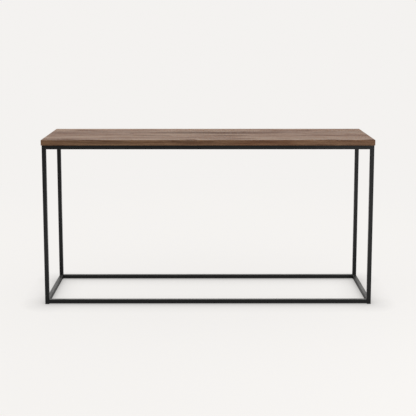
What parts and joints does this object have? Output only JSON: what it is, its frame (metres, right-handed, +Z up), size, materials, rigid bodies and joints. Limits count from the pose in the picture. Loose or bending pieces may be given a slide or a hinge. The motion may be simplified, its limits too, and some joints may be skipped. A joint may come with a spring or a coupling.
{
  "type": "console table",
  "caption": "Long narrow console table: a brown solid wood top on an open welded frame of slim black square steel tube, standing on black plastic foot plugs.",
  "frame": {"origin": "on the floor, under the middle of the top", "axes": "+X along the table to the right as seen from the front, +Y from front to back, +Z up"},
  "size_m": [1.5, 0.42, 0.76],
  "materials": {
    "wood_top": "satin",
    "black_steel": "satin",
    "foot_plastic": "matte",
    "zinc_steel": "satin"
  },
  "bodies": {
    "root": {"top_board_1": "wood_top", "top_board_2": "wood_top", "top_board_3": "wood_top", "top_board_4": "wood_top", "top_board_5": "wood_top", "leg_front_left": "black_steel", "leg_front_right": "black_steel", "leg_back_left": "black_steel", "leg_back_right": "black_steel", "bottom_rail_front": "black_steel", "bottom_rail_back": "black_steel", "top_rail_front": "black_steel", "top_rail_back": "black_steel", "bottom_rail_left": "black_steel", "bottom_rail_right": "black_steel", "top_rail_left": "black_steel", "top_rail_right": "black_steel", "weld_bottom_front_left": "black_steel", "weld_bottom_front_right": "black_steel", "weld_bottom_back_left": "black_steel", "weld_bottom_back_right": "black_steel", "weld_top_front_left": "black_steel", "weld_top_front_right": "black_steel", "weld_top_back_left": "black_steel", "weld_top_back_right": "black_steel", "fixing_tab_front_1": "black_steel", "fixing_tab_front_2": "black_steel", "fixing_tab_front_3": "black_steel", "fixing_tab_front_4": "black_steel", "fixing_tab_back_1": "black_steel", "fixing_tab_back_2": "black_steel", "fixing_tab_back_3": "black_steel", "fixing_tab_back_4": "black_steel", "fixing_tab_left": "black_steel", "fixing_tab_right": "black_steel", "tab_welds": "black_steel", "foot_plug_front_left": "foot_plastic", "foot_plug_front_right": "foot_plastic", "foot_plug_back_left": "foot_plastic", "foot_plug_back_right": "foot_plastic", "top_washers": "zinc_steel", "top_screws": "zinc_steel"}
  },
  "joints": []
}
